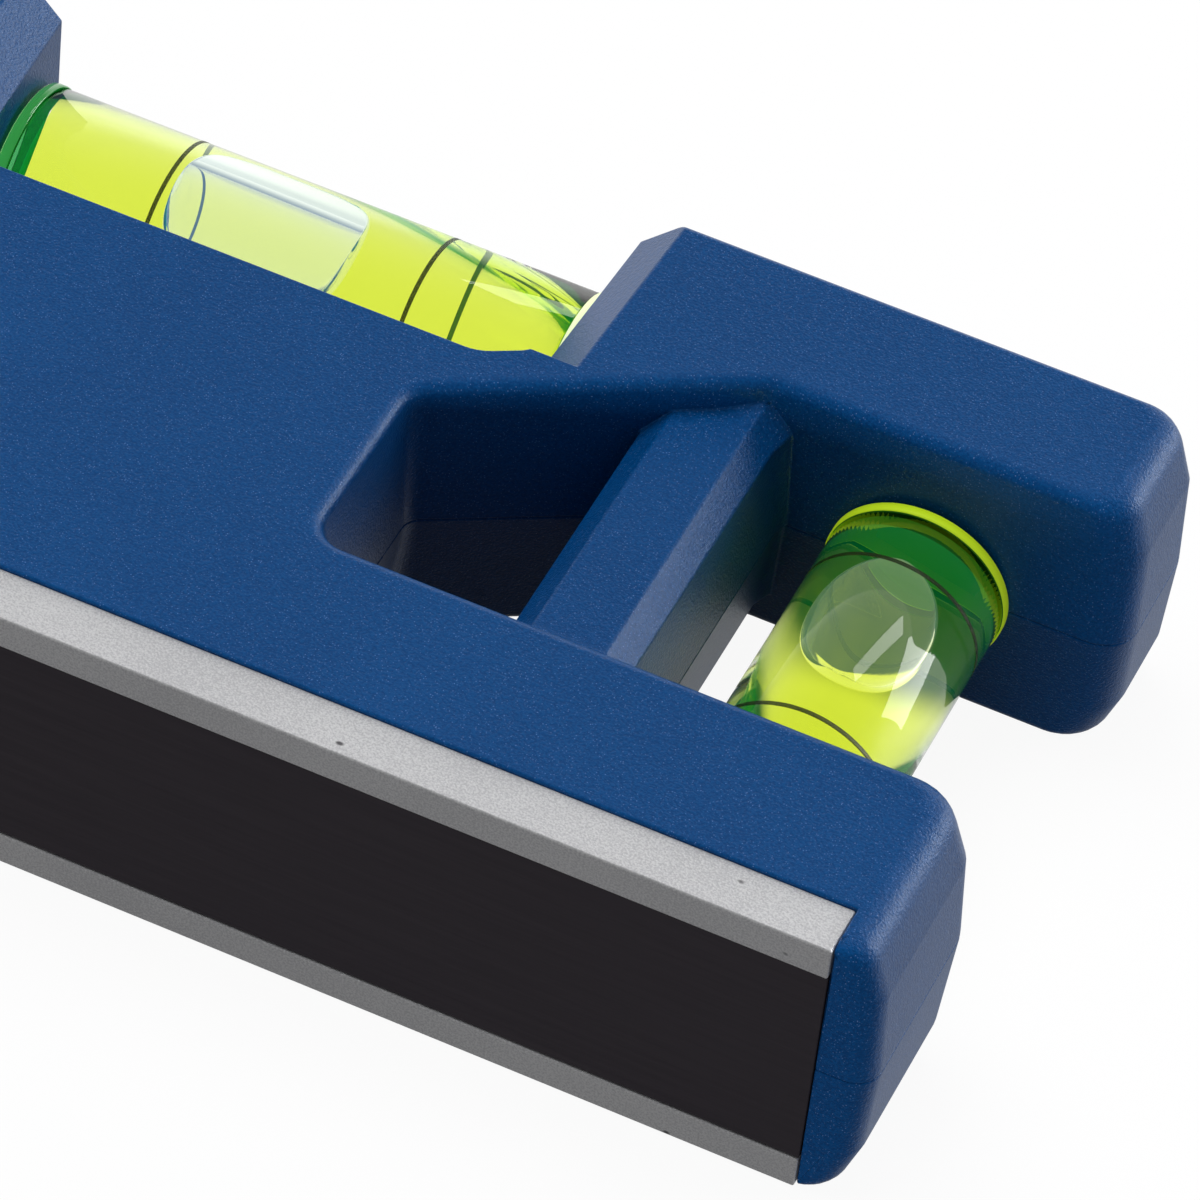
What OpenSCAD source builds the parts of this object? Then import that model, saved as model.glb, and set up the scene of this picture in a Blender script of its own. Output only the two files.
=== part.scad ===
/* [Body] */
// Overall length of the level
body_l = 93.5; // [92:0.1:120]
// Height from the measuring face to the top edge
body_h = 40.2; // [39.6:0.1:46]
// Thickness across the two large faces
body_t = 17.4; // [16.6:0.1:21]
// Outer wall of the hollow shells
shell_wall = 2.0; // [1.4:0.1:2.4]
// Ribs inside the shells
rib_t = 1.5; // [1:0.1:2]
// Depth of the slanted facet of the end faces below a large face
facet_h = 3.3; // [2:0.1:5]
// Lean of the facet from upright
facet_lean = 17.8; // [10:0.1:24]
// How far the facet's foot stands back from the joint plane's outline
facet_foot = 0.25; // [0.1:0.05:0.4]
// Radius between the facet and a large face
edge_r = 1.8; // [1:0.1:2.2]
// Radius of the long outer edges
rim_r = 0.5; // [0.3:0.1:0.8]
// Radius of the edges round the opening
mouth_r = 0.7; // [0.3:0.05:0.9]
// Radius of the upright corners of the ends
corner_r = 1.4; // [0.6:0.1:1.8]
// Radius of the upright corners beside the end vial
inner_corner_r = 2.0; // [1:0.1:2.6]
// Draft of the opening's walls from the front face to the joint plane
draft = 0.6; // [0.2:0.05:0.8]
// How much further the opening's walls stand back at the rear face
rear_relief = 0.5; // [0:0.05:0.6]

/* [Opening] */
// Height of the beam above the measuring face
beam_h = 12.0; // [11.5:0.1:13]
// Clear height of the opening at the end vial
opening_h = 20.2; // [18:0.1:20.8]
// Length of the opening from its left wall to the open end
opening_l = 35.25; // [33:0.05:36]
// Angle of the sloping wall
slope_deg = 31; // [26:1:36]
// Distance from the open end to where the sloping wall meets the head
knee_inset = 20.05; // [19:0.05:21]
// Radius of the opening's corners
opening_r = 1.7; // [1.4:0.1:2.2]
// Distance from the open end to the bar's middle
bar_inset = 22.15; // [21.8:0.05:22.5]
// Width of the bar
bar_w = 6.3; // [5:0.1:6.6]
// How far the bar stands below each large face
bar_drop = 1.8; // [1:0.1:3]
// Chamfer along the bar's edges
bar_chamfer = 1.25; // [0.6:0.05:1.6]
// Fillet where the bar meets the beam and the head
bar_fillet = 0.45; // [0.2:0.05:0.6]

/* [Vial window] */
// Width between the two blocks at the top edge
window_w = 32.4; // [31:0.1:33]
// Depth of the window below the top edge
window_d = 13.2; // [12:0.1:14]
// Lean of the window's side walls
window_lean = 3; // [0:0.5:4]
// Chamfer where the window's side walls meet the large faces
window_chamfer = 2.35; // [1:0.05:2.8]
// Wall between the opening's slope and the window
web_t = 2.5; // [2:0.1:3]
// Radius of the window's foot beside the slope
foot_r = 2.6; // [1:0.1:4]

/* [Rail and magnet] */
// Depth of the rail's side band
rail_d = 2.9; // [2.6:0.1:3.4]
// Length of the moulded end beyond the rail
rail_end = 2.9; // [2.4:0.1:6]
// How far the rail lies below a large face
rail_step = 0.2; // [0.1:0.05:0.4]
// How far the moulded ends stand back from the rail's working face
end_setback = 0.15; // [0.05:0.05:0.4]
// Thickness of the rail's stem
stem_t = 3.0; // [2:0.1:4]
// Length of the rail's stem
stem_l = 1.3; // [1:0.1:1.6]
// Width of the rail's tee
tee_w = 7.0; // [6:0.1:9]
// Thickness of the rail's tee
tee_t = 1.2; // [1:0.1:1.4]
// Width of the magnet strip
strip_w = 13.0; // [10:0.1:13.4]
// Thickness of the magnet strip
strip_t = 1.5; // [1:0.05:1.7]
// Thickness of the adhesive tape under the strip
tape_t = 0.2; // [0.1:0.05:0.2]
// How far the strip lies below the rail's lips
strip_recess = 0.1; // [0.05:0.05:0.2]

/* [Vials] */
// Outer diameter of both vials
vial_d = 9.5; // [9:0.1:9.7]
// Wall of the vial tubes
tube_wall = 1.25; // [1:0.05:1.4]
// How much the barrel-shaped bore narrows towards its ends
barrel = 0.1; // [0.05:0.01:0.12]
// Thickness of the plug flanges
flange_t = 0.6; // [0.4:0.05:0.8]
// How far the plug flanges stand proud of the tube
flange_lip = 0.1; // [0.05:0.05:0.2]
// Length of the plug spigot inside the tube
spigot_l = 0.6; // [0.4:0.05:1]
// Diameter of the stubs that seat in the body
stub_d = 6.4; // [5:0.1:6.8]
// Length of the stubs that seat in the body
stub_l = 4.0; // [3:0.1:4.4]
// Distance from the open end to the end vial's axis
plumb_inset = 10.95; // [10:0.05:11.2]
// Distance between the marks of the long vial
level_marks = 14.2; // [11:0.1:16]
// Distance between the marks of the end vial
plumb_marks = 11.2; // [10:0.1:12.5]
// Width of a mark ring
mark_w = 0.22; // [0.16:0.02:0.4]
// Depth of a mark ring
mark_t = 0.1; // [0.08:0.01:0.15]
// Diameter of the bubbles
bubble_d = 5.0; // [4:0.1:5.2]
// Length of the long vial's bubble
level_bubble_l = 9.8; // [8:0.1:10.5]
// Length of the end vial's bubble
plumb_bubble_l = 8.0; // [7:0.1:8.6]
// Place of the long vial's bubble, from the middle of its vial
level_bubble_at = -2.0; // [-4:0.1:4]
// Place of the end vial's bubble, from the middle of its vial
plumb_bubble_at = 2.4; // [-2:0.1:2.5]

/* [Fits] */
// Clearance round the rail, its tee and its ends
rail_fit = 0.05; // [0.02:0.01:0.1]
// Clearance of the vial stubs in their seats
seat_fit = 0.05; // [0.02:0.01:0.1]
// Clearance of the pieces fitted to the vial tubes
tube_fit = 0.02; // [0.01:0.005:0.03]
// Clearance round a bubble
bubble_fit = 0.2; // [0.15:0.01:0.25]
// Liquid left beyond each end of a bubble's channel
end_film = 0.3; // [0.2:0.05:0.5]
// Diameter of the locating pins
pin_d = 2.6; // [2:0.1:3]
// Length of the locating pins
pin_l = 2.6; // [2:0.1:4]
// Clearance of the locating pins
pin_fit = 0.05; // [0.02:0.01:0.1]

/* [Hidden] */
$fn = 64;
corner_steps = 8;
over = 1;
reach = 60;

half_t = body_t / 2;
end_x = body_l / 2;
opening_x = end_x - opening_l;
knee_x = end_x - knee_inset;
bar_x = end_x - bar_inset;
plumb_x = end_x - plumb_inset;
head_y = beam_h + opening_h;
vial_r = vial_d / 2;
bore_r = vial_r - tube_wall;
window_y = body_h - window_d;

// Depths below a large face at which the outline is drawn: the rounded edge, the facet's foot
// and the joint plane
edge_depth = edge_r * (1 - sin(facet_lean));
edge_steps = 8;
depths = concat([for (k = [0:edge_steps]) edge_depth * pow(k / edge_steps, 2)],
    [facet_h, half_t]);
end_inset = facet_foot + (facet_h - edge_r) * tan(facet_lean) + edge_r / cos(facet_lean);

slope_y = head_y - tan(slope_deg) * (knee_x - opening_x);
web_rise = web_t / cos(slope_deg);
foot_x = knee_x - (head_y + web_rise - window_y) / tan(slope_deg);
// The window's side walls at its floor, and the corner where the right one meets the slope
side_x = window_w / 2 - tan(window_lean) * window_d;
steep = tan(window_lean) * tan(slope_deg);
corner_x = (side_x - steep * foot_x) / (1 - steep);
corner = [corner_x, window_y + tan(slope_deg) * (corner_x - foot_x)];

rail_l = body_l - 2 * rail_end;
rail_w = body_t - 2 * rail_step;
groove_d = strip_recess + strip_t + tape_t;
tee_y = rail_d + stem_l;
slot_top = tee_y + tee_t + rail_fit;
cell_floor = slot_top + rib_t;

// The long vial lies along X with its top flush with the blocks, the end vial along Y
level_y = body_h - vial_r - flange_lip;
level_half = window_w / 2 - tan(window_lean) * vial_d - flange_t - seat_fit;
plumb_y = beam_h + opening_h / 2;
plumb_half = opening_h / 2 - draft - flange_t - seat_fit;
level_seat = level_half + flange_t + stub_l + seat_fit;
plumb_seat = plumb_half + flange_t + stub_l + seat_fit;

// The bubbles float up against the bore
bubble_r = bubble_d / 2;
bubble_lift = bore_r - barrel - bubble_fit - bubble_r;

rail_color = [0.74, 0.74, 0.76];
shell_color = [0.12, 0.28, 0.50];
liquid_color = [0.86, 0.94, 0.20, 0.7];
clear_color = [0.93, 0.97, 0.88, 0.4];

cell_count = 4;
cell_x0 = -end_x + end_inset + shell_wall;
cell_x1 = opening_x - shell_wall;
cell_w = (cell_x1 - cell_x0 - (cell_count - 1) * rib_t) / cell_count;
boss_d = pin_d + 2 * rib_t;
pin_inset = 8;
low_pin_y = cell_floor + boss_d;
pins = [[pin_inset - end_x, body_h - pin_inset], [pin_inset - end_x, low_pin_y], [0, low_pin_y],
    [opening_x + pin_inset, (slot_top + beam_h) / 2],
    [(level_seat + plumb_x - stub_d / 2) / 2, (head_y + body_h) / 2]];

// Everything is drawn with Y from the measuring face and Z from the joint plane
module placed() translate([0, -body_h / 2, half_t]) children();

// Both turn +Z to the vial's axis and -X upwards
module along_x(y) translate([0, y, 0]) rotate([0, 90, 0]) children();

module along_y(x, y) translate([x, y, 0]) rotate([-90, 0, 0]) rotate([0, 0, 90]) children();

// How far an edge of radius r stands back at a depth below a large face
function rim(r, depth) = depth < r ? r - sqrt(r * r - (r - depth) * (r - depth)) : 0;

// How far an end face stands back at a depth: rounded edge, slanted facet, upright wall
function end_back(depth) =
    depth < edge_depth ? end_inset - edge_r + rim(edge_r, depth)
    : depth < facet_h ? facet_foot + (facet_h - depth) * tan(facet_lean)
    : facet_foot * (half_t - depth) / (half_t - facet_h);

// How far a wall of the opening stands out at a depth: rounded edge, then draft
function wall_out(depth, relief) =
    (draft + relief) * depth / half_t - relief - rim(mouth_r, depth);

// An arc of the outline: centre, radius, first and last angle
function arc(x, y, r, from, to) =
    [for (k = [0:corner_steps]) let (a = from + (to - from) * k / corner_steps)
        [x + r * cos(a), y + r * sin(a)]];

// The body's outline at a depth, anticlockwise from the left end: the beam, the opening, whose
// corners turn about the same places at every depth, and the head
function outline(depth, relief) =
    let (end = end_x - end_back(depth), edge = rim(rim_r, depth),
        low = end_setback + edge + corner_r, high = body_h - edge - corner_r,
        wall = wall_out(depth, relief), r = opening_r - wall, half_slope = slope_deg / 2)
    concat(
        arc(corner_r - end, low, corner_r, 180, 270),
        arc(end - corner_r, low, corner_r, 270, 360),
        arc(end - inner_corner_r, beam_h + wall - inner_corner_r, inner_corner_r, 0, 90),
        arc(opening_x + opening_r, beam_h + opening_r, r, 270, 180),
        arc(opening_x + opening_r, slope_y - tan(45 - half_slope) * opening_r, r,
            180, 90 + slope_deg),
        arc(knee_x + tan(half_slope) * opening_r, head_y - opening_r, r, 90 + slope_deg, 90),
        arc(end - inner_corner_r, head_y - wall + inner_corner_r, inner_corner_r, 270, 360),
        arc(end - corner_r, high, corner_r, 0, 90),
        arc(corner_r - end, high, corner_r, 90, 180));

// The triangles of a flat face between one corner and a run of the outline
function fan(corner, first, last) = [for (i = [first:last - 1]) [corner, i, i + 1]];

// The body from the large face down to the joint plane, drawn through its outlines. Both of
// these faces are split at the opening's left wall into the closed part, the beam and the head
module slab(relief) {
    n = corner_steps + 1;
    count = 9 * n;
    last = (len(depths) - 1) * count;
    closed = concat([for (i = [8 * n:count - 1]) i], [for (i = [0:n - 1]) i], [4 * n - 1, 4 * n]);
    flat = concat([closed], fan(n - 1, n, 4 * n - 1), fan(8 * n, 4 * n, 8 * n - 1));
    polyhedron(
        points = [for (d = depths) for (p = outline(d, relief)) [p[0], p[1], half_t - d]],
        faces = concat([for (f = flat) [for (i = [len(f) - 1:-1:0]) f[i]]],
            [for (top = [0:count:last - 1]) for (i = [0:count - 1])
                let (j = (i + 1) % count, low = top + count)
                each [[top + i, top + j, low + j], [top + i, low + j, low + i]]],
            [for (f = flat) [for (i = f) last + i]]));
}

module bar_profile() {
    wide = bar_w / 2;
    top = half_t - bar_drop;
    rise = top - bar_chamfer;
    polygon([[-wide - draft, 0], [-wide, rise], [-wide + bar_chamfer, top],
        [wide - bar_chamfer, top], [wide, rise], [wide + draft, 0]]);
}

// The bar, which flares at each end where its top meets the wall
module bar(relief) {
    wall = opening_h / 2 - wall_out(bar_drop, relief);
    translate([bar_x, plumb_y, 0]) rotate([90, 0, 0]) {
        linear_extrude(height = opening_h + 2 * over, center = true) bar_profile();
        for (side = [0, 1]) mirror([0, 0, side]) hull() {
            translate([0, 0, wall - bar_fillet - over]) linear_extrude(height = over) bar_profile();
            translate([0, 0, wall]) linear_extrude(height = over) difference() {
                offset(delta = bar_fillet) bar_profile();
                translate([-reach, -2 * reach]) square(2 * reach);
            }
        }
    }
}

function unit(v) = v / norm(v);

// A convex outline whose corners are rounded, each with its own radius or 0
module rounded(points, radii) {
    n = len(points);
    back = [for (i = [0:n - 1]) unit(points[(i + n - 1) % n] - points[i])];
    ahead = [for (i = [0:n - 1]) unit(points[(i + 1) % n] - points[i])];
    half = [for (i = [0:n - 1]) acos(back[i] * ahead[i]) / 2];
    polygon([for (i = [0:n - 1]) let (run = radii[i] / tan(half[i]))
        each run == 0 ? [points[i]] : [points[i] + run * back[i], points[i] + run * ahead[i]]]);
    for (i = [0:n - 1]) {
        if (radii[i] > 0)
            translate(points[i] + radii[i] / sin(half[i]) * unit(back[i] + ahead[i]))
                circle(r = radii[i]);
    }
}

module window_plan() {
    top = window_w / 2 + tan(window_lean) * over;
    floor = foot_x < side_x ? [[foot_x, window_y], corner] : [[side_x, window_y]];
    rounded(concat([[-top, body_h + over], [-side_x, window_y]], floor, [[top, body_h + over]]),
        concat([0, foot_r / 2], foot_x < side_x ? [foot_r, foot_r / 2] : [foot_r / 2], [0]));
}

module window() {
    translate([0, 0, -over]) linear_extrude(height = half_t + 2 * over) window_plan();
    window_bevel(-1, window_y);
    window_bevel(1, max(window_y, corner[1]));
}

// The 45 degree bevel of a window side, which stops at the window's floor
module window_bevel(side, stop) {
    leg = window_chamfer * sqrt(2);
    intersection() {
        translate([side * window_w / 2, body_h, half_t]) rotate([0, 0, -side * window_lean])
            rotate([0, 45, 0]) cube([leg, 2 * reach, leg], center = true);
        translate([-reach, stop, 0]) cube([2 * reach, reach, reach]);
    }
}

module bosses() {
    for (p = pins) translate([p[0], p[1], -2 * over]) cylinder(d = boss_d, h = reach);
}

// The hollows between the ribs
module cells() {
    difference() {
        for (i = [0:cell_count - 1]) {
            translate([cell_x0 + i * (cell_w + rib_t), cell_floor, -over])
                cube([cell_w, body_h - shell_wall - cell_floor, half_t - shell_wall + over]);
        }
        keep = window_w / 2 + shell_wall + window_chamfer / 2;
        translate([-keep, window_y - shell_wall, -2 * over]) cube([2 * reach, reach, reach]);
        along_x(level_y)
            cylinder(r = stub_d / 2 + seat_fit + rib_t, h = 2 * (level_seat + rib_t), center = true);
        bosses();
    }
    difference() {
        translate([opening_x + shell_wall, cell_floor, -over])
            cube([plumb_x - stub_d / 2 - seat_fit - rib_t - opening_x - shell_wall,
                beam_h - shell_wall - cell_floor, half_t - shell_wall + over]);
        bosses();
    }
}

module rail_slot() {
    long = rail_l + 2 * rail_fit;
    translate([-long / 2, -over, -over]) cube([long, rail_d + over, reach]);
    translate([-long / 2, 0, -over]) cube([long, tee_y, stem_t / 2 + rail_fit + over]);
    translate([-long / 2, tee_y - rail_fit, -over])
        cube([long, slot_top - tee_y + rail_fit, tee_w / 2 + rail_fit + over]);
}

// The seats that hold the plug stubs of both vials between the two shells
module vial_seats() {
    along_x(level_y) cylinder(d = stub_d + 2 * seat_fit, h = 2 * level_seat, center = true);
    along_y(plumb_x, plumb_y) cylinder(d = stub_d + 2 * seat_fit, h = 2 * plumb_seat, center = true);
}

module half_shell(relief) {
    difference() {
        union() {
            slab(relief);
            bar(relief);
        }
        window();
        cells();
        rail_slot();
        vial_seats();
    }
}

module front_shell() {
    color(shell_color) placed() {
        half_shell(0);
        for (p = pins) translate([p[0], p[1], -pin_l]) cylinder(d = pin_d, h = pin_l + over);
    }
}

module rear_shell() {
    color(shell_color) placed() difference() {
        mirror([0, 0, 1]) half_shell(rear_relief);
        for (p = pins) translate([p[0], p[1], -pin_l - pin_fit])
            cylinder(d = pin_d + 2 * pin_fit, h = pin_l + pin_fit + over);
    }
}

// The extruded rail: lips and groove in front, a tee behind that the shells close round
module base_rail() {
    color(rail_color) placed() translate([rail_l / 2, 0, 0]) rotate([90, 0, -90])
        linear_extrude(height = rail_l) mirror([1, 0]) {
            difference() {
                translate([0, -rail_w / 2]) square([rail_d, rail_w]);
                translate([-over, -strip_w / 2 - rail_fit])
                    square([groove_d + over, strip_w + 2 * rail_fit]);
            }
            translate([groove_d + (rail_d - groove_d) / 2, -stem_t / 2])
                square([tee_y + tee_t / 2 - groove_d - (rail_d - groove_d) / 2, stem_t]);
            translate([tee_y, -tee_w / 2]) square([tee_t, tee_w]);
        }
}

module magnet_strip() {
    color([0.10, 0.09, 0.09]) placed()
        translate([-rail_l / 2, strip_recess, -strip_w / 2]) cube([rail_l, strip_t, strip_w]);
}

module adhesive_tape() {
    color([0.85, 0.85, 0.80]) placed()
        translate([-rail_l / 2, strip_recess + strip_t, -strip_w / 2]) cube([rail_l, tape_t, strip_w]);
}

// Barrel-shaped bore, turned about Z: widest in the middle, narrower towards both ends
module barrel_bore(half, inset) {
    steps = 12;
    rotate_extrude() polygon(concat([[0, -half]],
        [for (i = [0:steps]) let (u = 2 * i / steps - 1) [bore_r - inset - barrel * u * u, u * half]],
        [[0, half]]));
}

module tube(half, marks) {
    difference() {
        cylinder(r = vial_r, h = 2 * half, center = true);
        barrel_bore(half, 0);
        for (side = [-1, 1]) {
            translate([0, 0, side * half])
                cylinder(r = bore_r, h = 2 * spigot_l, center = true);
            translate([0, 0, side * marks / 2]) difference() {
                cylinder(r = vial_r + over, h = mark_w + 2 * tube_fit, center = true);
                cylinder(r = vial_r - mark_t - tube_fit, h = 2 * over, center = true);
            }
        }
    }
}

module mark() {
    difference() {
        cylinder(r = vial_r, h = mark_w, center = true);
        cylinder(r = vial_r - mark_t, h = 2 * over, center = true);
    }
}

// A plug: spigot in the tube, flange against its end and stub in the body, pointing along +Z
module plug(half) {
    translate([0, 0, half]) {
        cylinder(r = vial_r + flange_lip, h = flange_t);
        translate([0, 0, flange_t]) cylinder(d = stub_d, h = stub_l);
        translate([0, 0, tube_fit - spigot_l]) cylinder(r = bore_r - tube_fit, h = spigot_l);
    }
}

module capsule(r, length) {
    translate([-bubble_lift, 0, 0]) {
        cylinder(r = r, h = length - 2 * r, center = true);
        for (side = [-1, 1]) translate([0, 0, side * (length / 2 - r)]) sphere(r = r);
    }
}

// The liquid leaves the channel that its bubble moves in, on the side that lies upwards
module liquid(half) {
    channel_r = bubble_r + bubble_fit;
    channel_l = 2 * (half - spigot_l - end_film);
    difference() {
        intersection() {
            barrel_bore(half, tube_fit);
            cylinder(r = vial_r, h = 2 * (half - spigot_l), center = true);
        }
        capsule(channel_r, channel_l);
        translate([-bubble_lift - reach, -channel_r, -channel_l / 2])
            cube([reach, 2 * channel_r, channel_l]);
    }
}

module level_tube() color(clear_color) placed() along_x(level_y) tube(level_half, level_marks);

module level_liquid() {
    color(liquid_color) placed() along_x(level_y) liquid(level_half);
}

module level_bubble() {
    color([1, 1, 1, 0.5]) placed() along_x(level_y) translate([0, 0, level_bubble_at])
        capsule(bubble_r, level_bubble_l);
}

module level_plug_left() {
    color(clear_color) placed() along_x(level_y) mirror([0, 0, 1]) plug(level_half);
}

module level_plug_right() color(clear_color) placed() along_x(level_y) plug(level_half);

module level_mark_left() {
    color("black") placed() along_x(level_y) translate([0, 0, -level_marks / 2]) mark();
}

module level_mark_right() {
    color("black") placed() along_x(level_y) translate([0, 0, level_marks / 2]) mark();
}

module plumb_tube() {
    color(clear_color) placed() along_y(plumb_x, plumb_y) tube(plumb_half, plumb_marks);
}

module plumb_liquid() {
    color(liquid_color) placed() along_y(plumb_x, plumb_y) liquid(plumb_half);
}

module plumb_bubble() {
    color([1, 1, 1, 0.5]) placed() along_y(plumb_x, plumb_y) translate([0, 0, plumb_bubble_at])
        capsule(bubble_r, plumb_bubble_l);
}

module plumb_plug_lower() {
    color(clear_color) placed() along_y(plumb_x, plumb_y) mirror([0, 0, 1]) plug(plumb_half);
}

module plumb_plug_upper() color(clear_color) placed() along_y(plumb_x, plumb_y) plug(plumb_half);

module plumb_mark_lower() {
    color("black") placed() along_y(plumb_x, plumb_y) translate([0, 0, -plumb_marks / 2]) mark();
}

module plumb_mark_upper() {
    color("black") placed() along_y(plumb_x, plumb_y) translate([0, 0, plumb_marks / 2]) mark();
}

front_shell();
rear_shell();
base_rail();
magnet_strip();
adhesive_tape();
level_tube();
level_liquid();
level_bubble();
level_plug_left();
level_plug_right();
level_mark_left();
level_mark_right();
plumb_tube();
plumb_liquid();
plumb_bubble();
plumb_plug_lower();
plumb_plug_upper();
plumb_mark_lower();
plumb_mark_upper();
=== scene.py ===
import math
import bpy
import bmesh
from mathutils import Matrix, Vector


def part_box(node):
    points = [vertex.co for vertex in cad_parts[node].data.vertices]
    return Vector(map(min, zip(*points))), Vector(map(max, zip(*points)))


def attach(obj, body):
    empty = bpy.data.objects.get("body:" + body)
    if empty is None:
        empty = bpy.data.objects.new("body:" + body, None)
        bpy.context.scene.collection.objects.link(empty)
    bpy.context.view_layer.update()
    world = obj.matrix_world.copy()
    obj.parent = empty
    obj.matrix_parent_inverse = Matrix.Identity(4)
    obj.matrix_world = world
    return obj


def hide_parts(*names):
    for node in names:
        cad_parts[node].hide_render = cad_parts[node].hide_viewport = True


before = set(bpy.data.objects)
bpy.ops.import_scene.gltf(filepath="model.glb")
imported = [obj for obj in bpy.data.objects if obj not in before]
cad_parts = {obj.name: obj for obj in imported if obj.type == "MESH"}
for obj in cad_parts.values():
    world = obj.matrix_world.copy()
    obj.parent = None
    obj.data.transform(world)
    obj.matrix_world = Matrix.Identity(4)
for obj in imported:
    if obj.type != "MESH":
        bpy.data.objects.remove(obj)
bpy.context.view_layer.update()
mm = 0.001
print("frame loaded")

# Camera: the photograph's view of the level lying on its rear face
view = {
    "azimuth": 19.42,
    "elevation": 46.54,
    "roll": 7.14,
    "place": (112.61, -252.74, 294.19),  # mm
    "lens": 241.4,
    "sensor": 36.0,
    "clip": (0.01, 20),  # metres
}


def addCamera():
    camera = bpy.data.objects.new("camera", bpy.data.cameras.new("camera"))
    bpy.context.scene.collection.objects.link(camera)
    camera.data.lens = view["lens"]
    camera.data.sensor_width = view["sensor"]
    camera.data.clip_start, camera.data.clip_end = view["clip"]
    turn = Matrix.Rotation(math.radians(view["azimuth"]), 4, "Z")
    tilt = Matrix.Rotation(math.radians(90 - view["elevation"]), 4, "X")
    roll = Matrix.Rotation(math.radians(view["roll"]), 4, "Z")
    camera.matrix_world = Matrix.Translation(Vector(view["place"]) * mm) @ turn @ tilt @ roll
    bpy.context.scene.camera = camera


def emptyTree(owner):
    owner.use_nodes = True
    owner.node_tree.nodes.clear()
    return owner.node_tree


def addNode(nodes, kind, place, **settings):
    node = nodes.new(kind)
    node.location = place
    for name, value in settings.items():
        setattr(node, name, value)
    return node


def setInputs(node, values):
    for name, value in values.items():
        node.inputs[name].default_value = value


def addMath(nodeTree, operation, first, second, place, third=None):
    node = addNode(nodeTree.nodes, "ShaderNodeMath", place, operation=operation)
    for socket, value in zip(node.inputs, (first, second, third)):
        if isinstance(value, (int, float)):
            socket.default_value = value
        elif value is not None:
            nodeTree.links.new(value, socket)
    return node.outputs[0]


def addRange(nodeTree, source, low, high, place):
    node = addNode(nodeTree.nodes, "ShaderNodeMapRange", place, interpolation_type="SMOOTHSTEP")
    setInputs(node, {"From Min": low, "From Max": high})
    nodeTree.links.new(source, node.inputs["Value"])
    return node.outputs[0]


# A Mix node's sockets for colours, which share their names with its other sockets
colourSockets = (6, 7)
mixedColour = 2


def mixColour(nodeTree, factor, first, second, place):
    mix = addNode(nodeTree.nodes, "ShaderNodeMix", place, data_type="RGBA")
    nodeTree.links.new(factor, mix.inputs["Factor"])
    for socket, value in zip(colourSockets, (first, second)):
        if isinstance(value, tuple):
            mix.inputs[socket].default_value = (*value, 1)
        else:
            nodeTree.links.new(value, mix.inputs[socket])
    return mix.outputs[mixedColour]


def mixShader(nodeTree, factor, first, second, place):
    mix = addNode(nodeTree.nodes, "ShaderNodeMixShader", place)
    for socket, source in zip(mix.inputs, (factor, first, second)):
        nodeTree.links.new(source, socket)
    return mix.outputs[0]


def addSource(nodeTree, kind, place, sockets, colour=None):
    node = addNode(nodeTree.nodes, kind, place)
    setInputs(node, sockets)
    if colour:
        nodeTree.links.new(colour, node.inputs["Color"])
    return node


# Studio: white floor, soft light from above and a bright backdrop behind the level
studio = {
    "floorSize": 3.0,
    "floorColour": (0.88, 0.88, 0.89),
    "bounceColour": (0.17, 0.17, 0.18),  # what the floor gives back to the level
    "floorGlow": 0.93,  # share of plain white that the camera sees in the floor
    "throughColour": (0.30, 0.30, 0.31),  # the shaded floor as seen through the vials
    # painted pool of light through the vials, standing in for light they gather, with painted
    # shade around it
    "paintedLightPool": {  # where the floor is bright through the vials, from and to in mm
        "bar": (27.0, 28.4), "head": (10.0, 8.8), "end": (43.5, 46.5),
        "behind": (14.0, 18.0), "far": (35.0, 80.0),
        "share": 0.96, "farShare": 0.70,
    },
    "skyThrough": 0.28,  # how bright the sky is through the vials
    "skyFade": (-0.05, 0.3),  # height of a direction, as in backShades
    "skyColour": (0.97, 0.98, 1.0),
    "skyStrength": 0.27,
    "backdrop": 2.0,
    "backdropFade": (-0.15, 0.4),
    "backShades": [(-1, 0.22), (-0.72, 0.30), (-0.46, 0.50), (-0.24, 0.62), (0, 0.90),
                   (0.20, 0.85), (0.45, 0.24), (0.75, 0.09), (1, 0.06)],  # height, share
    "frontShade": 0.05,
    "lamps": {
        "keyLamp": {"power": 6.9, "size": (0.6, 0.6), "place": (-0.22, 0.12, 0.85),
                    "glossy": False},
        "sideLamp": {"power": 3.2, "size": (0.4, 0.4), "place": (0.58, 0.52, 0.19)},
        "frontLamp": {"power": 3.2, "size": (0.5, 0.12), "place": (0.15, -0.88, 0.065),
                      "glossy": False},
        "streakLamp": {"power": 1.15, "size": (0.17, 0.5), "place": (0.28, 0.66, 0.72),
                       "diffuse": False},
    },
    "bounces": 24,
    "glossyBounces": 8,
}


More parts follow.
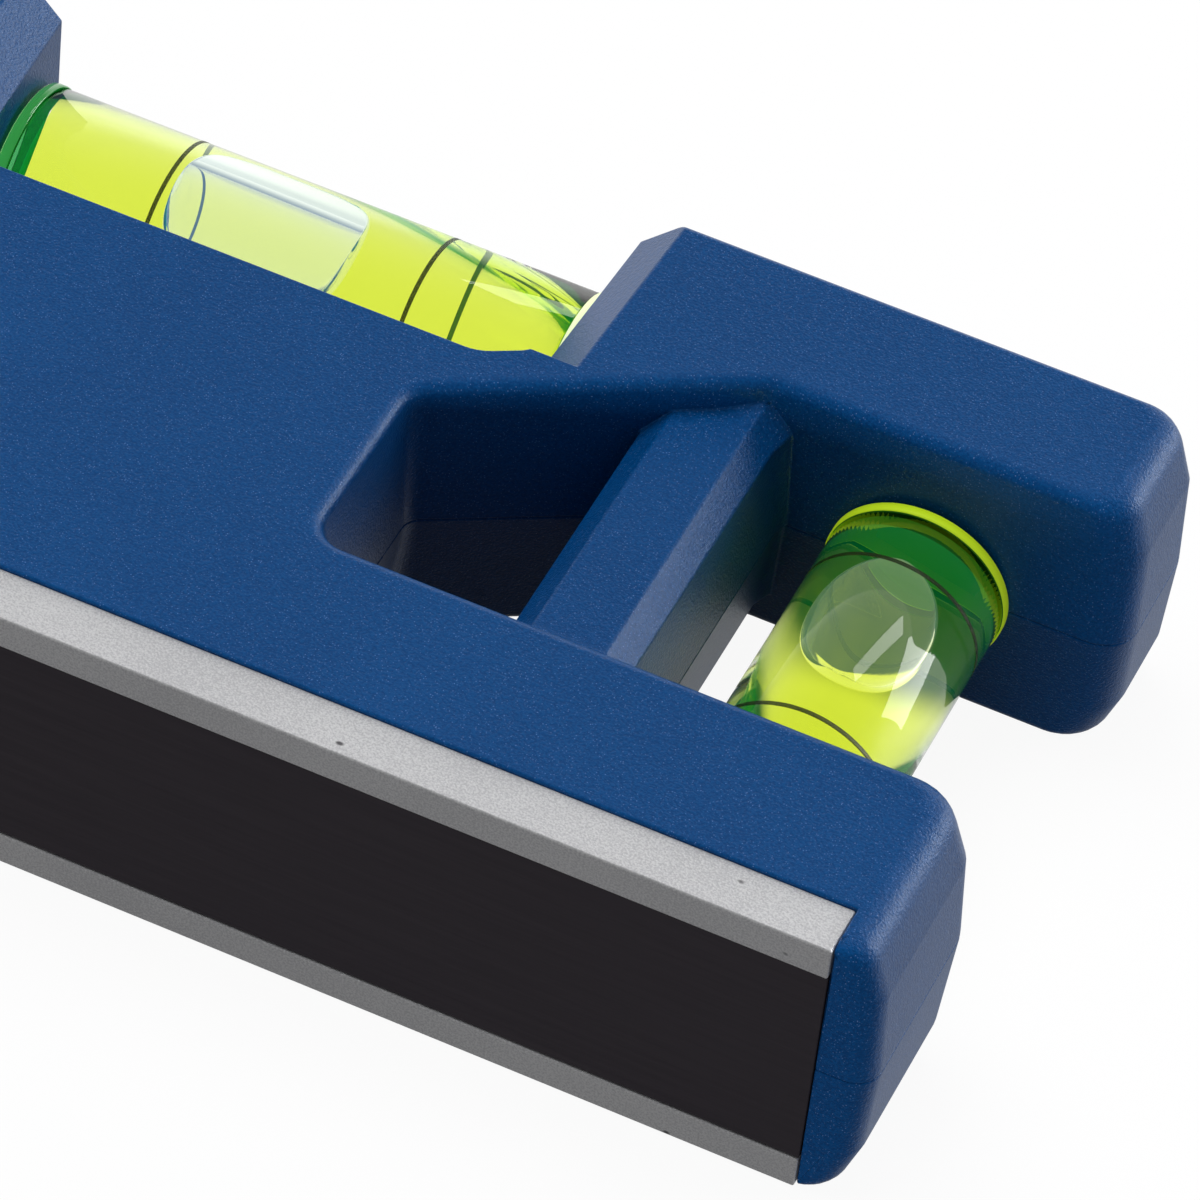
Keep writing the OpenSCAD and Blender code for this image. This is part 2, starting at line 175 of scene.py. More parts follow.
def addWorld():
    world = bpy.data.worlds.new("studioWorld")
    bpy.context.scene.world = world
    nodeTree = emptyTree(world)
    nodes, links = nodeTree.nodes, nodeTree.links
    path = addNode(nodes, "ShaderNodeLightPath", (-900, 300)).outputs
    coords = addNode(nodes, "ShaderNodeTexCoord", (-1100, -200))
    direction = addNode(nodes, "ShaderNodeSeparateXYZ", (-900, -200))
    links.new(coords.outputs["Generated"], direction.inputs[0])

    # What gloss sees: shades by height behind the level, dark in front of it
    height = addNode(nodes, "ShaderNodeMapRange", (-700, -100))
    setInputs(height, {"From Min": -1.0, "From Max": 1.0})
    links.new(direction.outputs["Z"], height.inputs["Value"])
    ramp = addNode(nodes, "ShaderNodeValToRGB", (-500, -100))
    shades = studio["backShades"]
    while len(ramp.color_ramp.elements) < len(shades):
        ramp.color_ramp.elements.new(1)
    for element, (level, share) in zip(ramp.color_ramp.elements, shades):
        element.position = (level + 1) / 2
        element.color = (share, share, share, 1)
    links.new(height.outputs[0], ramp.inputs["Fac"])
    behind = addRange(nodeTree, direction.outputs["Y"], *studio["backdropFade"], (-700, -400))
    front = (studio["frontShade"],) * 3
    shade = mixColour(nodeTree, behind, front, ramp.outputs["Color"], (-200, -200))
    mirrored = addSource(nodeTree, "ShaderNodeBackground", (0, -100),
                         {"Strength": studio["backdrop"]}, shade)

    # What the camera and the vials see: white, and through the vials a darker sky
    white = addSource(nodeTree, "ShaderNodeBackground", (0, 300), {"Color": (1, 1, 1, 1)})
    drop = addRange(nodeTree, direction.outputs["Z"], *studio["skyFade"], (-700, 100))
    lost = addMath(nodeTree, "MULTIPLY", drop, studio["skyThrough"] - 1, (-500, 400))
    strength = addMath(nodeTree, "MULTIPLY_ADD", path["Is Transmission Ray"], lost,
                       (-300, 400), 1.0)
    links.new(strength, white.inputs["Strength"])

    soft = addSource(nodeTree, "ShaderNodeBackground", (0, 100),
                     {"Color": (*studio["skyColour"], 1), "Strength": studio["skyStrength"]})
    seen = addMath(nodeTree, "MAXIMUM", path["Is Camera Ray"], path["Is Transmission Ray"],
                   (-500, 300))
    unseen = mixShader(nodeTree, path["Is Glossy Ray"], soft.outputs[0], mirrored.outputs[0],
                       (250, 0))
    leave = addNode(nodes, "ShaderNodeOutputWorld", (650, 100))
    links.new(mixShader(nodeTree, seen, unseen, white.outputs[0], (450, 100)),
              leave.inputs["Surface"])


# Painted light and shade on the floor as seen through the vials: the share of white where rays
# through the vials meet it, by its place, bright right of the bar in front of the head, beyond the
# level's end and behind it, and dark elsewhere
def paintedThroughShare(nodeTree):
    nodes, links = nodeTree.nodes, nodeTree.links
    paintedLightPool = studio["paintedLightPool"]
    coords = addNode(nodes, "ShaderNodeTexCoord", (-1500, -200))
    split = addNode(nodes, "ShaderNodeSeparateXYZ", (-1300, -200))
    links.new(coords.outputs["Object"], split.inputs[0])
    masks = {}
    for row, (name, axis) in enumerate((("bar", "X"), ("head", "Y"), ("end", "X"),
                                        ("behind", "Y"), ("far", "Y"))):
        low, high = paintedLightPool[name]
        masks[name] = addRange(nodeTree, split.outputs[axis], low * mm, high * mm,
                               (-900, -100 - 200 * row))
    under = addMath(nodeTree, "MULTIPLY", masks["bar"], masks["head"], (-600, -200))
    fading = addMath(nodeTree, "MULTIPLY_ADD", masks["far"], paintedLightPool["farShare"] - 1,
                     (-600, -700), 1.0)
    beyond = addMath(nodeTree, "MULTIPLY", masks["behind"], fading, (-450, -600))
    beside = addMath(nodeTree, "MAXIMUM", under, masks["end"], (-450, -300))
    lit = addMath(nodeTree, "MAXIMUM", beside, beyond, (-400, -400))
    return addMath(nodeTree, "MULTIPLY", lit, paintedLightPool["share"], (-300, -300))


def addFloor():
    bm = bmesh.new()
    bmesh.ops.create_grid(bm, x_segments=1, y_segments=1, size=studio["floorSize"])
    mesh = bpy.data.meshes.new("floor")
    bm.to_mesh(mesh)
    bm.free()
    floor = bpy.data.objects.new("floor", mesh)
    bpy.context.scene.collection.objects.link(floor)
    floor.visible_glossy = False  # gloss sees the backdrop's shades instead
    material = bpy.data.materials.new("floorWhite")
    nodeTree = emptyTree(material)
    nodes, links = nodeTree.nodes, nodeTree.links
    path = addNode(nodes, "ShaderNodeLightPath", (-600, 300)).outputs
    colour = mixColour(nodeTree, path["Is Diffuse Ray"], studio["floorColour"],
                       studio["bounceColour"], (-200, 400))
    shaded = mixColour(nodeTree, path["Is Transmission Ray"], colour, studio["throughColour"],
                       (0, 400))
    paint = addSource(nodeTree, "ShaderNodeBsdfDiffuse", (0, 200), {}, shaded)
    white = addSource(nodeTree, "ShaderNodeEmission", (0, 0), {"Color": (1, 1, 1, 1)})
    seen = addMath(nodeTree, "MULTIPLY", path["Is Camera Ray"], studio["floorGlow"], (-350, 100))
    # through the vials the floor shows the painted pool of light and painted shade
    amount = addMath(nodeTree, "MULTIPLY_ADD", path["Is Transmission Ray"],
                     paintedThroughShare(nodeTree), (-150, 100), seen)
    leave = addNode(nodes, "ShaderNodeOutputMaterial", (400, 100))
    links.new(mixShader(nodeTree, amount, paint.outputs[0], white.outputs[0], (200, 100)),
              leave.inputs["Surface"])
    mesh.materials.append(material)


def addLamp(name, power, size, place, glossy=True, diffuse=True):
    lamp = bpy.data.objects.new(name, bpy.data.lights.new(name, "AREA"))
    bpy.context.scene.collection.objects.link(lamp)
    lamp.data.energy = power
    lamp.data.shape = "RECTANGLE"
    lamp.data.size, lamp.data.size_y = size
    lamp.visible_glossy = glossy
    lamp.visible_diffuse = diffuse
    lamp.visible_transmission = False
    turn = (-Vector(place)).to_track_quat("-Z", "Y").to_matrix().to_4x4()
    lamp.matrix_world = Matrix.Translation(Vector(place)) @ turn


addCamera()
addWorld()
addFloor()
for name, settings in studio["lamps"].items():
    addLamp(name, **settings)
scene = bpy.context.scene
scene.view_settings.view_transform = "Standard"
scene.cycles.max_bounces = studio["bounces"]
scene.cycles.transmission_bounces = studio["bounces"]
scene.cycles.transparent_max_bounces = studio["bounces"]
scene.cycles.glossy_bounces = studio["glossyBounces"]
print("camera, light and floor ready")


# Node groups shared by the finishes
def newGroup(name, inputs, outputs):
    group = bpy.data.node_groups.new(name, "ShaderNodeTree")
    for label, kind, value in inputs:
        socket = group.interface.new_socket(label, in_out="INPUT", socket_type=kind)
        if value is not None:
            socket.default_value = value
    for label, kind in outputs:
        group.interface.new_socket(label, in_out="OUTPUT", socket_type=kind)
    entry = addNode(group.nodes, "NodeGroupInput", (-1100, 0))
    leave = addNode(group.nodes, "NodeGroupOutput", (900, 0))
    return group, entry, leave


def addNoise(group, source, place, scale, detail=2.0, rough=0.5):
    node = addNode(group.nodes, "ShaderNodeTexNoise", place)
    setInputs(node, {"Scale": scale, "Detail": detail, "Roughness": rough})
    group.links.new(source, node.inputs["Vector"])
    return node


# Dots in the middle of the cells that a random value picks
def chosenDots(group, cells, marks):
    dots = addRange(group, cells.outputs["Distance"], *marks["dot"], (-400, -200))
    value = addNode(group.nodes, "ShaderNodeSeparateColor", (-400, -400))
    group.links.new(cells.outputs["Color"], value.inputs[0])
    picked = addRange(group, value.outputs[0], *marks["chosen"], (-200, -400))
    return addMath(group, "MULTIPLY", dots, picked, (100, -300))


# Spark-eroded mould grain: fine rounded bumps, and many tiny light dots painted on as glints where
# the grain's facets catch the light
grainMarks = {
    "fine": {"scale": 7000.0, "rough": 0.55},
    "coarse": {"scale": 2600.0},
    "coarseShare": 0.5,
    "spots": 5200.0,
    "dot": (0.30, 0.10),  # distance from a cell's middle
    "chosen": (0.1, 1.0),  # random value of a cell
    "clouds": {"scale": 90.0, "detail": 3.0, "rough": 0.6},
    "cloudShare": 0.25,
    "mottle": (0.45, 0.80),
}


def grainGroup():
    group, entry, leave = newGroup(
        "sparkGrain",
        [("Vector", "NodeSocketVector", None),
         ("Size", "NodeSocketFloat", grainMarks["fine"]["scale"]),
         ("Spots", "NodeSocketFloat", grainMarks["spots"])],
        [("Height", "NodeSocketFloat"), ("PaintedGlints", "NodeSocketFloat"),
         ("Mottle", "NodeSocketFloat")],
    )
    links, place = group.links, entry.outputs["Vector"]
    fine = addNoise(group, place, (-700, 300), **grainMarks["fine"])
    links.new(entry.outputs["Size"], fine.inputs["Scale"])
    coarse = addNoise(group, place, (-700, 100), **grainMarks["coarse"])
    height = addMath(group, "MULTIPLY_ADD", coarse.outputs["Fac"], grainMarks["coarseShare"],
                     (-400, 200), fine.outputs["Fac"])
    links.new(height, leave.inputs["Height"])
    # Painted glints: light dots in randomly chosen cells
    spots = addNode(group.nodes, "ShaderNodeTexVoronoi", (-700, -200))
    links.new(place, spots.inputs["Vector"])
    links.new(entry.outputs["Spots"], spots.inputs["Scale"])
    links.new(chosenDots(group, spots, grainMarks), leave.inputs["PaintedGlints"])
    clouds = addNoise(group, place, (-700, -700), **grainMarks["clouds"])
    blend = addMath(group, "MULTIPLY_ADD", clouds.outputs["Fac"], grainMarks["cloudShare"],
                    (-400, -600), fine.outputs["Fac"])
    mottle = addRange(group, blend, *grainMarks["mottle"], (-100, -600))
    links.new(mottle, leave.inputs["Mottle"])
    return group


# Fine marks drawn along the length, with a few short dark nicks
drawnLines = {
    "stretch": (120, 3000, 3000),
    "streaks": {"scale": 1.0, "detail": 3.0, "rough": 0.6},
    "nickStretch": (260, 420, 420),
    "dot": (0.075, 0.035),  # distance from a cell's middle
    "chosen": (0.62, 0.66),  # random value of a cell
}


def drawnGroup():
    group, entry, leave = newGroup(
        "drawnMarks",
        [("Vector", "NodeSocketVector", None)],
        [("Streaks", "NodeSocketFloat"), ("Nicks", "NodeSocketFloat")],
    )
    stretched = []
    for scale, place in (("stretch", (-900, 100)), ("nickStretch", (-900, -300))):
        mapping = addNode(group.nodes, "ShaderNodeMapping", place)
        setInputs(mapping, {"Scale": drawnLines[scale]})
        group.links.new(entry.outputs["Vector"], mapping.inputs["Vector"])
        stretched.append(mapping.outputs[0])
    streaks = addNoise(group, stretched[0], (-600, 100), **drawnLines["streaks"])
    group.links.new(streaks.outputs["Fac"], leave.inputs["Streaks"])
    cells = addNode(group.nodes, "ShaderNodeTexVoronoi", (-600, -300))
    setInputs(cells, {"Scale": 1.0})
    group.links.new(stretched[1], cells.inputs["Vector"])
    group.links.new(chosenDots(group, cells, drawnLines), leave.inputs["Nicks"])
    return group


sparkGrain = grainGroup()
drawnMarks = drawnGroup()


def newFinish(name, sockets):
    material = bpy.data.materials.new(name)
    nodeTree = emptyTree(material)
    shader = addNode(nodeTree.nodes, "ShaderNodeBsdfPrincipled", (600, 0))
    setInputs(shader, sockets)
    leave = addNode(nodeTree.nodes, "ShaderNodeOutputMaterial", (900, 0))
    nodeTree.links.new(shader.outputs[0], leave.inputs["Surface"])
    return material, nodeTree, shader


def addPattern(nodeTree, group, **values):
    coords = addNode(nodeTree.nodes, "ShaderNodeTexCoord", (-900, 0))
    pattern = addNode(nodeTree.nodes, "ShaderNodeGroup", (-650, 0), node_tree=group)
    nodeTree.links.new(coords.outputs["Object"], pattern.inputs["Vector"])
    setInputs(pattern, values)
    return pattern.outputs


def addBump(nodeTree, shader, height, distance):
    bump = addNode(nodeTree.nodes, "ShaderNodeBump", (350, -300))
    setInputs(bump, {"Strength": 1.0, "Distance": distance})
    nodeTree.links.new(height, bump.inputs["Height"])
    nodeTree.links.new(bump.outputs[0], shader.inputs["Normal"])


blueAbs = {
    "colour": (0.0, 0.0370, 0.140),
    "paler": (0.0008, 0.0540, 0.188),
    # light colour of the painted glints
    "facet": (0.10, 0.18, 0.38),
    "roughness": 0.35,
    "ior": 1.5,
    "specular": 0.32,
    "glossTint": (0.62, 0.76, 1.0),
    "grainSize": 7000.0,
    "spotSize": 7200.0,
    "grainDepth": 0.040,  # mm
}


def blueFinish():
    material, nodeTree, shader = newFinish(
        "blueAbs", {"Roughness": blueAbs["roughness"], "IOR": blueAbs["ior"],
                    "Specular IOR Level": blueAbs["specular"],
                    "Specular Tint": (*blueAbs["glossTint"], 1)})
    grain = addPattern(nodeTree, sparkGrain, Size=blueAbs["grainSize"], Spots=blueAbs["spotSize"])
    base = mixColour(nodeTree, grain["Mottle"], blueAbs["colour"], blueAbs["paler"], (-200, 200))
    # Painted glints: the grain's light dots mixed into the blue
    glinted = mixColour(nodeTree, grain["PaintedGlints"], base, blueAbs["facet"], (100, 200))
    nodeTree.links.new(glinted, shader.inputs["Base Color"])
    addBump(nodeTree, shader, grain["Height"], blueAbs["grainDepth"] * mm)
    return material


railMetal = {
    "colour": (0.93, 0.93, 0.94),
    "darker": (0.72, 0.72, 0.74),
    "nick": (0.16, 0.16, 0.17),
    "roughness": 0.58,
    "metallic": 0.8,  # the anodised film scatters the rest
    "grainSize": 9000.0,
    "grainDepth": 0.016,  # mm
}


def railFinish():
    material, nodeTree, shader = newFinish(
        "anodisedRail", {"Roughness": railMetal["roughness"], "Metallic": railMetal["metallic"]})
    grain = addPattern(nodeTree, sparkGrain, Size=railMetal["grainSize"])
    drawn = addPattern(nodeTree, drawnMarks)
    grained = mixColour(nodeTree, grain["Mottle"], railMetal["darker"], railMetal["colour"],
                        (-200, 200))
    colour = mixColour(nodeTree, drawn["Nicks"], grained, railMetal["nick"], (100, 200))
    nodeTree.links.new(colour, shader.inputs["Base Color"])
    addBump(nodeTree, shader, grain["Height"], railMetal["grainDepth"] * mm)
    return material


stripRubber = {
    "colour": (0.020, 0.017, 0.021),
    "paler": (0.032, 0.027, 0.032),
    "roughness": 0.6,
    "specular": 0.3,
    "streakDepth": 0.012,  # mm
}


def magnetFinish():
    material, nodeTree, shader = newFinish(
        "magnetStrip", {"Roughness": stripRubber["roughness"],
                        "Specular IOR Level": stripRubber["specular"]})
    drawn = addPattern(nodeTree, drawnMarks)
    colour = mixColour(nodeTree, drawn["Streaks"], stripRubber["colour"], stripRubber["paler"],
                       (100, 200))
    nodeTree.links.new(colour, shader.inputs["Base Color"])
    addBump(nodeTree, shader, drawn["Streaks"], stripRubber["streakDepth"] * mm)
    return material


markInk = {"colour": (0.014, 0.026, 0.004), "roughness": 0.5, "alpha": 0.72}
tapeWhite = {"colour": (0.6, 0.6, 0.55), "roughness": 0.6}


def plainFinish(name, colour, roughness, alpha=1.0):
    return newFinish(name, {"Roughness": roughness, "Base Color": (*colour, 1), "Alpha": alpha})[0]


# Acrylic and liquid: light bends at the outer skins, the bores and the bubbles' inner walls only
vialGlass = {
    "ior": 1.47,
    "matched": 1.0,  # where light goes from one piece of the vial to the next unbent
    "boreIor": {"longVial": 1.05, "endVial": 1.2},  # of the tube against the thinner liquid
    "tubeTint": (0.99, 1.0, 0.96),
    "soak": {"colour": (0.917, 0.934, 0.10), "density": 430.0},
    "liquidGlow": ((0.0, 1.0, 0.22), 0.043),  # colour, strength
    "bubbleGlow": {"longVial": ((0.10, 0.12, 1.0), 0.22),  # against the tint of the liquid
                   "endVial": ((0.8, 0.8, 0.75), 0.07)},
    "plugTint": (0.90, 0.97, 0.72),
    "plugGlow": ((0.20, 0.75, 0.04), 0.02),
    "glowRoughness": 0.5,
    # Painted glow on the plugs' flange edges, and painted shade and glow on their backs and tinted
    # faces, dark, dim or pale per plug
    "brightRimGlow": ((0.42, 0.60, 0.012), (0.42, 0.60, 0.012), 0.36),  # colour, glow, strength
    "paleRimGlow": ((0.62, 0.68, 0.42), (0.80, 0.88, 0.50), 0.45),
    "paintedBacks": {"dark": ((0.02, 0.07, 0.01), (0.10, 0.90, 0.12), 0.06),
              "dim": ((0.03, 0.12, 0.02), (0.08, 0.90, 0.22), 0.26),
              "pale": ((0.55, 0.62, 0.30), (0.80, 0.90, 0.30), 0.35)},
    "faces": {"dark": (0.45, 0.85, 0.35), "dim": (0.006, 0.18, 0.025),
              "pale": (0.90, 0.97, 0.60)},
}


def glowingFinish(name, colour, glow, strength):
    return newFinish(name, {"Roughness": vialGlass["glowRoughness"], "Base Color": (*colour, 1),
                            "Emission Color": (*glow, 1), "Emission Strength": strength})[0]


def clearFinish(name, ior, tint=(1, 1, 1), glow=None, glowStrength=0.0, soak=None):
    sockets = {"Roughness": 0.0, "Metallic": 0.0, "Transmission Weight": 1.0, "IOR": ior,
               "Base Color": (*tint, 1)}
    if glow:
        sockets["Emission Color"] = (*glow, 1)
        sockets["Emission Strength"] = glowStrength
    material, nodeTree, _ = newFinish(name, sockets)
    if soak:
        medium = addNode(nodeTree.nodes, "ShaderNodeVolumeAbsorption", (600, -300))
        setInputs(medium, {"Color": (*soak["colour"], 1), "Density": soak["density"]})
        leave = nodeTree.nodes["Material Output"]
        nodeTree.links.new(medium.outputs[0], leave.inputs["Volume"])
    return material


blue = blueFinish()
rail = railFinish()
magnet = magnetFinish()
ink = plainFinish("markInk", **markInk)
tape = plainFinish("tapeWhite", **tapeWhite)
tubeSkin = clearFinish("tubeAcrylic", vialGlass["ior"], vialGlass["tubeTint"])
tubeBores = {name: clearFinish(name + "Bore", ior) for name, ior in vialGlass["boreIor"].items()}
tubeEnd = clearFinish("tubeEnd", vialGlass["matched"])
liquid = clearFinish("vialLiquid", vialGlass["matched"], (1, 1, 1), *vialGlass["liquidGlow"],
                     vialGlass["soak"])
filmSkin = clearFinish("bubbleFilm", vialGlass["matched"])
bubbleWalls = {
    name: clearFinish(name + "BubbleWall", vialGlass["ior"] / vialGlass["boreIor"][name],
                      (1, 1, 1), *glow)
    for name, glow in vialGlass["bubbleGlow"].items()
}
plugSkin = clearFinish("plugAcrylic", vialGlass["ior"], vialGlass["plugTint"],
                       *vialGlass["plugGlow"])
brightRimGlow = glowingFinish("plugEdgeGlow", *vialGlass["brightRimGlow"])
paleRimGlow = glowingFinish("plugRimPaleGlow", *vialGlass["paleRimGlow"])
plugPaintedBacks = {shade: glowingFinish("plugBack" + shade.capitalize(), *values)
             for shade, values in vialGlass["paintedBacks"].items()}
plugShadedFaces = {shade: clearFinish("plugFace" + shade.capitalize(), vialGlass["matched"], tint)
             for shade, tint in vialGlass["faces"].items()}
print("finishes ready")


def addPiece(name, bm, body, materials, nodes):
    mesh = bpy.data.meshes.new(name)
    bm.to_mesh(mesh)
    bm.free()
    for material in materials:
        mesh.materials.append(material)
    piece = bpy.data.objects.new(name, mesh)
    bpy.context.scene.collection.objects.link(piece)
    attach(piece, body)
    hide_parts(*nodes)
    return piece


# Mouldings and the rail: merged copies of the solids with their edges eased
easing = {
    "frontMoulding": {"node": "front_shell", "slot": "shell", "width": 0.12},
    "rearMoulding": {"node": "rear_shell", "slot": "shell", "width": 0.12},
    "railExtrusion": {"node": "base_rail", "slot": "rail", "width": 0.12},
    "stripMagnet": {"node": "magnet_strip", "slot": "magnet", "width": 0.08},
    "angle": 24,  # degrees, and rounder edges than this stay as they are
    "segments": 3,
    "merge": 0.001,  # mm
    "flat": 0.6,  # degrees
}


def easedCopy(name, material):
    settings = easing[name]
    bm = bmesh.new()
    bm.from_mesh(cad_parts[settings["node"]].data)
    bmesh.ops.remove_doubles(bm, verts=bm.verts, dist=easing["merge"] * mm)
    bmesh.ops.dissolve_limit(bm, angle_limit=math.radians(easing["flat"]), verts=bm.verts,
                             edges=bm.edges, delimit=set())
    bm.normal_update()
    for face in bm.faces:
        face.smooth = True
    piece = addPiece(name, bm, "level", [material], [settings["node"]])
    bevel = piece.modifiers.new("easedEdges", "BEVEL")
    bevel.width = settings["width"] * mm
    bevel.segments = easing["segments"]
    bevel.limit_method = "ANGLE"
    bevel.angle_limit = math.radians(easing["angle"])
    bevel.use_clamp_overlap = False
    bevel.harden_normals = True
    weigh = piece.modifiers.new("flatFaces", "WEIGHTED_NORMAL")
    weigh.keep_sharp = True


for name, material in (("frontMoulding", blue), ("rearMoulding", blue),
                       ("railExtrusion", rail), ("stripMagnet", magnet)):
    easedCopy(name, material)
print("mouldings and rail ready")


# Both vials: clear tube with a barrel-shaped bore, tinted liquid, bubble under the top of the bore
vial = {
    "skin": 0.005,  # mm that the tube stands below its mark rings
    "lip": 0.06,
    "bore": 3.5,
    "barrel": 0.1,
    "spigot": 0.6,
    "gap": 0.02,
    "film": 0.04,
    "boreZone": 0.1,  # faces this far outside the bore belong to it
    "bubbles": {  # mm, with a roundness of 2 for an egg and more for squarer ends
        "longVial": {"width": 2.9, "depth": 1.9, "hang": 1.65, "roundness": 4.0},
        "endVial": {"width": 2.6, "depth": 1.7, "hang": 1.4, "roundness": 2.3},
    },
    "turnSteps": 96,
    "boreSteps": 12,
    "capSteps": 20,
    "bubbleSteps": 56,
    "merge": 0.0005,  # mm
    "bubbleMerge": 0.002,
    "across": 0.9,  # share of a face's normal along the vial, above which it is an end face
}


def turned(outline, centre, along, closed=True):
    bm = bmesh.new()
    up = Vector((0, 0, 1))
    verts = [bm.verts.new(centre + along * height + up * radius) for radius, height in outline]
    pairs = list(zip(verts, verts[1:]))
    if closed:
        pairs.append((verts[-1], verts[0]))
    edges = [bm.edges.new(pair) for pair in pairs]
    bmesh.ops.spin(bm, geom=verts + edges, cent=centre, axis=along, angle=2 * math.pi,
                   steps=vial["turnSteps"], use_merge=True)
    bmesh.ops.remove_doubles(bm, verts=bm.verts, dist=vial["merge"] * mm)
    bmesh.ops.recalc_face_normals(bm, faces=bm.faces)
    for face in bm.faces:
        face.smooth = True
    return bm


def placeOf(name):
    low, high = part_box(name)
    low, high = Vector(low), Vector(high)
    size = high - low
    along = Vector((1, 0, 0)) if size.x > size.y else Vector((0, 1, 0))
    return (low + high) / 2, along, size.dot(along) / 2, size.z / 2


def boreLine(reach, half, inset):
    points = []
    for step in range(vial["boreSteps"] + 1):
        height = reach * (2 * step / vial["boreSteps"] - 1)
        narrowing = vial["barrel"] * mm * (height / half) ** 2
        points.append((vial["bore"] * mm - inset - narrowing, height))
    return points


# A bubble pressed against the top of the bore, with a rounded liquid surface below it
def bubbleShell(form, inset, centre, middle, halfLength, along):
    up = Vector((0, 0, 1))
    side = along.cross(up)
    ceiling = (vial["bore"] - vial["barrel"] - 2 * vial["gap"] - inset) * mm
    width, depth, hang = ((form[key] - inset) * mm for key in ("width", "depth", "hang"))
    reach = halfLength - inset * mm
    start = centre + along * (middle - centre).dot(along)
    bm = bmesh.new()
    rings = []
    for row in range(2 * vial["capSteps"] + 1):
        angle = math.radians(90 * (row / vial["capSteps"] - 1))
        height = math.copysign(abs(math.sin(angle)) ** (2 / form["roundness"]), angle) * reach
        share = max(math.cos(angle), 0) ** (2 / form["roundness"])
        ring = []
        for step in range(vial["bubbleSteps"]):
            turn = 2 * math.pi * step / vial["bubbleSteps"]
            across = width * share * math.cos(turn)
            rise = ceiling - hang * share + depth * share * math.sin(turn)
            excess = max(math.hypot(across, rise) / ceiling, 1)
            point = start + along * height + side * across / excess + up * rise / excess
            ring.append(bm.verts.new(point))
        rings.append(ring)
    for first, second in zip(rings, rings[1:]):
        for step in range(vial["bubbleSteps"]):
            after = (step + 1) % vial["bubbleSteps"]
            bm.faces.new((first[step], first[after], second[after], second[step]))
    bmesh.ops.remove_doubles(bm, verts=bm.verts, dist=vial["bubbleMerge"] * mm)
    bmesh.ops.recalc_face_normals(bm, faces=bm.faces)
    for face in bm.faces:
        face.smooth = True
    return bm


# A face's height along the vial, its distance from the axis and whether it is an end face
def standOf(face, centre, along):
    offset = face.calc_center_median() - centre
    height = offset.dot(along)
    return height, (offset - along * height).length, abs(face.normal.dot(along)) > vial["across"]


def addVial(name, tube, liquidNode, bubble):
    centre, along, half, radius = placeOf(tube)
    outer = radius - vial["skin"] * mm
    lip = vial["lip"] * mm
    outline = boreLine(half, half, 0)[::-1] + [(outer - lip, -half), (outer, -half + lip),
                                               (outer, half - lip), (outer - lip, half)]
    bm = turned(outline, centre, along)
    finishes = [tubeSkin, tubeBores[name], tubeEnd]
    for face in bm.faces:
        _, away, endFace = standOf(face, centre, along)
        face.smooth = not endFace
        if endFace:
            face.material_index = finishes.index(tubeEnd)
        elif away < (vial["bore"] + vial["boreZone"]) * mm:
            face.material_index = finishes.index(tubeBores[name])
    addPiece(name + "Tube", bm, "level", finishes, [tube])

    reach = half - (vial["spigot"] + vial["gap"]) * mm
    filling = [(0, -reach)] + boreLine(reach, half, vial["gap"] * mm) + [(0, reach)]
    bm = turned(filling, centre, along, closed=False)
    addPiece(name + "Liquid", bm, "level", [liquid], [liquidNode])

    middle, _, halfLength, _ = placeOf(bubble)
    form = vial["bubbles"][name]
    inside = bubbleShell(form, vial["film"], centre, middle, halfLength, along)
    bmesh.ops.reverse_faces(inside, faces=inside.faces)
    finishes = [filmSkin, bubbleWalls[name]]
    for face in inside.faces:
        face.material_index = finishes.index(bubbleWalls[name])
    held = bpy.data.meshes.new("held")
    inside.to_mesh(held)
    inside.free()
    film = bubbleShell(form, 0, centre, middle, halfLength, along)
    film.from_mesh(held)
    bpy.data.meshes.remove(held)
    addPiece(name + "Bubble", film, bubble, finishes, [bubble])


addVial("longVial", "level_tube", "level_liquid", "level_bubble")
addVial("endVial", "plumb_tube", "plumb_liquid", "plumb_bubble")
print("vials ready")


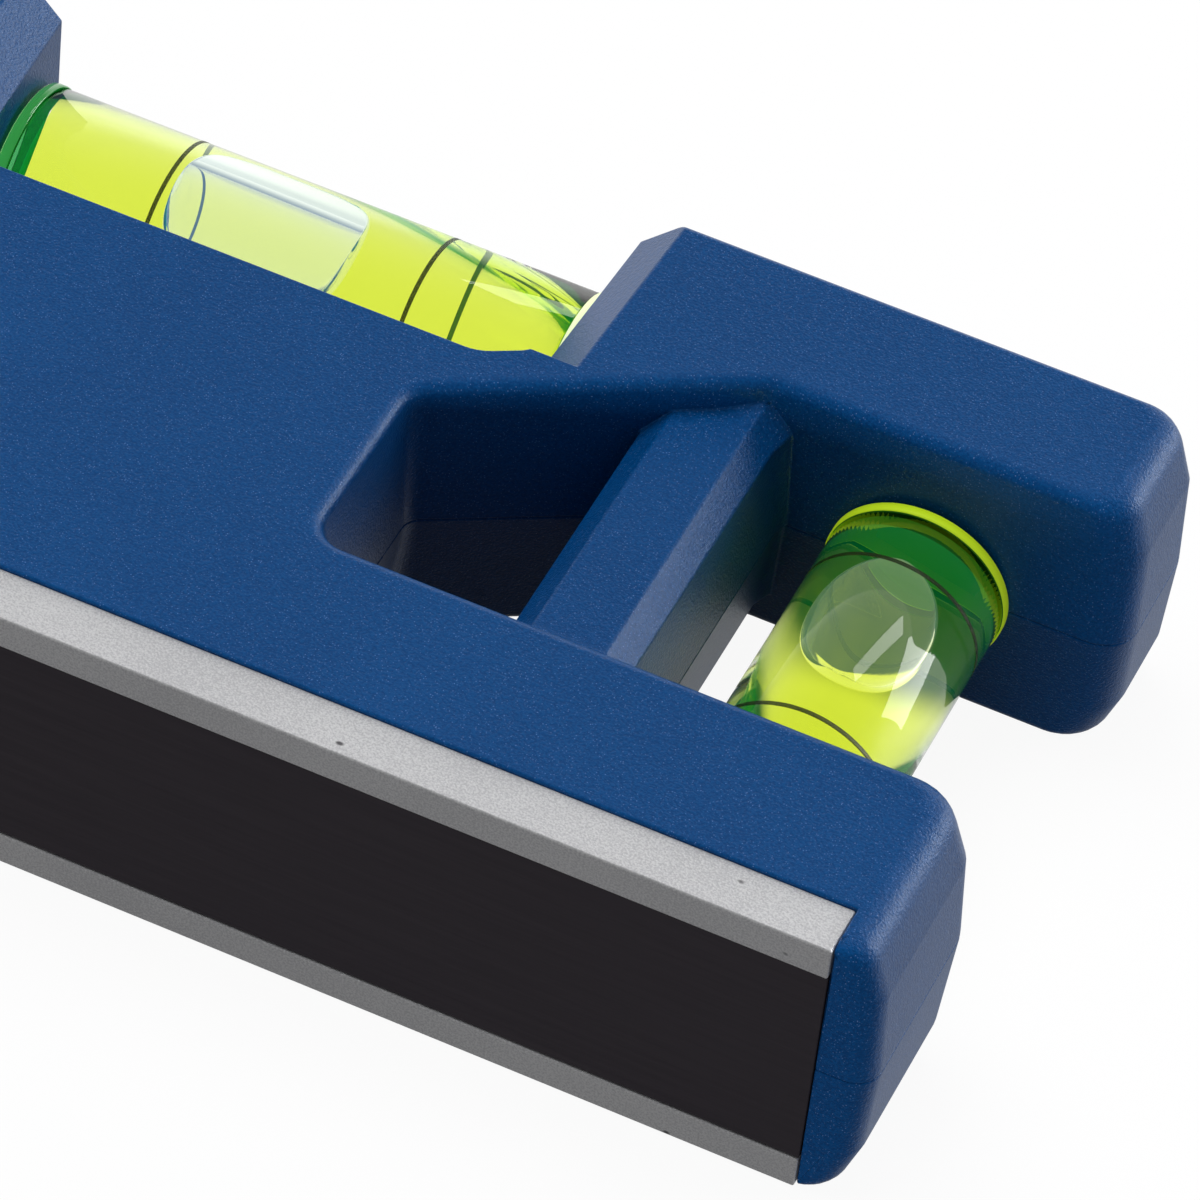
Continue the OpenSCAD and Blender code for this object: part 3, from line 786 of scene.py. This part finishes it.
# Plugs: clear spigot and flange tinted dark, dim or pale as painted shade, flange edges with a
# painted glow, and the back of the flange and the stub with painted shade and glow
plug = {
    "lip": 0.1,
    "flange": 0.6,
    "stubRadius": 3.2,
    "edge": 0.07,
    # painted shade of each plug: which dark, dim or pale copy of the backs and faces it gets
    "shades": {"level_plug_left": "dim", "level_plug_right": "pale",
               "plumb_plug_lower": "pale", "plumb_plug_upper": "dark"},
    # painted glow on each plug's flange edge
    "rimGlows": {"level_plug_left": "clear", "level_plug_right": "pale",
             "plumb_plug_lower": "bright", "plumb_plug_upper": "bright"},
}
plugRimGlows = {"clear": plugSkin, "pale": paleRimGlow, "bright": brightRimGlow}


def addPlug(name, node, tube, side):
    centre, along, half, radius = placeOf(tube)
    low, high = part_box(node)
    length = (Vector(high) - Vector(low)).dot(along)
    along = along * side
    spigot = vial["bore"] * mm - vial["gap"] * mm
    rim = radius + plug["lip"] * mm
    edge = plug["edge"] * mm
    start = half - (vial["spigot"] - vial["gap"]) * mm
    end = half + plug["flange"] * mm
    outline = [(0, start), (spigot - edge, start), (spigot, start + edge), (spigot, half),
               (rim - edge, half), (rim, half + edge), (rim, end - edge), (rim - edge, end),
               (plug["stubRadius"] * mm, end), (plug["stubRadius"] * mm, start + length),
               (0, start + length)]
    bm = turned(outline, centre, along, closed=False)
    # each plug takes its painted shade and its rim's painted glow
    shade = plug["shades"][node]
    front, border, back = plugShadedFaces[shade], plugRimGlows[plug["rimGlows"][node]], plugPaintedBacks[shade]
    finishes = [front, border, back]
    for face in bm.faces:
        height, away, endFace = standOf(face, centre, along)
        face.smooth = not endFace
        if height > end - edge / 4:
            face.material_index = finishes.index(back)
        elif away > rim - edge:
            face.material_index = finishes.index(border)
    addPiece(name, bm, "level", finishes, [node])


addPlug("longVialLeftPlug", "level_plug_left", "level_tube", -1)
addPlug("longVialRightPlug", "level_plug_right", "level_tube", 1)
addPlug("endVialLowerPlug", "plumb_plug_lower", "plumb_tube", -1)
addPlug("endVialUpperPlug", "plumb_plug_upper", "plumb_tube", 1)
print("plugs ready")


def finishNode(node, material):
    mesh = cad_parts[node].data
    mesh.materials.clear()
    mesh.materials.append(material)


for side in ("left", "right"):
    finishNode("level_mark_" + side, ink)
for side in ("lower", "upper"):
    finishNode("plumb_mark_" + side, ink)
finishNode("adhesive_tape", tape)
print("mark rings and tape ready")
